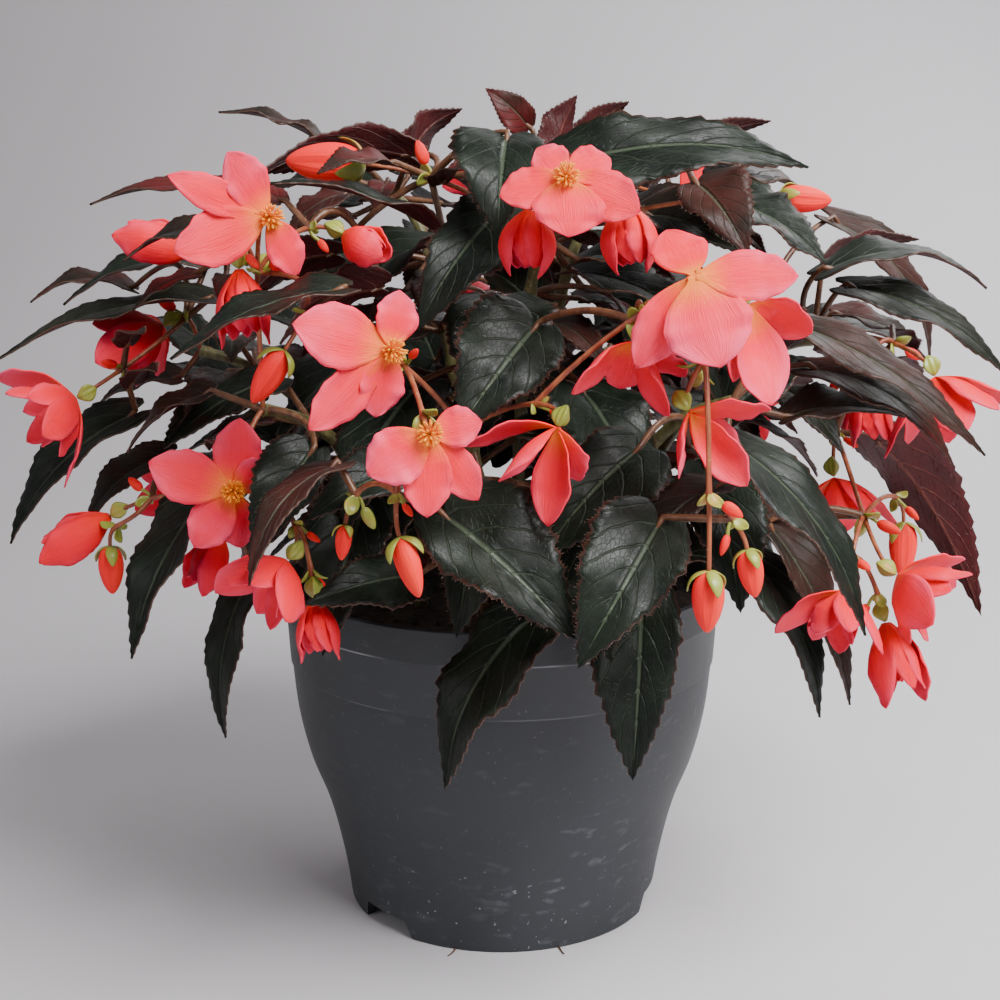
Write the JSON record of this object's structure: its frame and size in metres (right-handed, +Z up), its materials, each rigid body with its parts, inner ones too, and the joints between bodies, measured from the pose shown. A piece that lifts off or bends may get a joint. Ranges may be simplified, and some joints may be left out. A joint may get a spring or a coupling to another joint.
{
  "type": "potted begonia",
  "caption": "Potted begonia: a dark round nursery pot with a stepped rim and foot notches, arching leafy stems with toothed pointed leaves, and hanging coral blooms and buds.",
  "frame": {"origin": "centre of the pot's foot, on the surface that it stands on, in the middle of the plant's spread", "axes": "+Z up along the pot's axis, -Y towards the side seen in the picture, +X to that view's right"},
  "size_m": [0.4959, 0.4078, 0.4211],
  "materials": {
    "pot": "dark anthracite plastic, slightly worn",
    "soil": "dark brown peat, rough",
    "leaf": "dark green glossy leaf, wine red beneath",
    "bloom": "coral tepals, soft and slightly shining",
    "stamens": "orange-yellow stamens"
  },
  "bodies": {
    "root": {"pot": "pot", "soil": "soil", "leafy_stem_1": "leaf", "leafy_stem_2": "leaf", "leafy_stem_3": "leaf", "leafy_stem_4": "leaf", "leafy_stem_5": "leaf", "leafy_stem_6": "leaf", "leafy_stem_7": "leaf", "leafy_stem_8": "leaf", "leafy_stem_9": "leaf", "leafy_stem_10": "leaf", "bloom_left_top": "bloom", "stamens_bloom_left_top": "stamens", "bloom_middle_left": "bloom", "stamens_bloom_middle_left": "stamens", "bloom_middle": "bloom", "stamens_bloom_middle": "stamens", "bloom_left_low": "bloom", "stamens_bloom_left_low": "stamens", "bloom_front_bell": "bloom", "bloom_top": "bloom", "stamens_bloom_top": "stamens", "bloom_right": "bloom", "bloom_right_back": "bloom", "bloom_right_bell": "bloom", "bloom_right_low": "bloom", "bloom_left_bell": "bloom", "bloom_left_dark": "bloom", "bloom_left_back": "bloom", "bloom_left_edge": "bloom", "bloom_left_under": "bloom", "bloom_edge_low": "bloom", "bloom_low_left": "bloom", "bloom_low_bell": "bloom", "bloom_top_left_bell": "bloom", "bloom_top_right_bell": "bloom", "bloom_edge_right": "bloom", "bloom_right_inner": "bloom", "bloom_right_behind": "bloom", "bloom_corner_top": "bloom", "bloom_corner_left": "bloom", "bloom_corner_low": "bloom", "bloom_right_narrow": "bloom", "bloom_pod": "bloom", "bud_left_top": "bloom", "bud_edge_low": "bloom", "bud_left": "bloom", "bud_front": "bloom", "bud_front_small": "bloom", "bud_top_right": "bloom", "bud_front_right": "bloom", "bud_right_low": "bloom", "bud_right_red": "bloom", "far_bloom_left_top": "bloom", "far_bloom_left_low": "bloom", "far_bloom_top": "bloom", "far_bloom_right_bell": "bloom", "far_bloom_corner_top": "bloom", "far_bud_front": "bloom"}
  },
  "joints": []
}
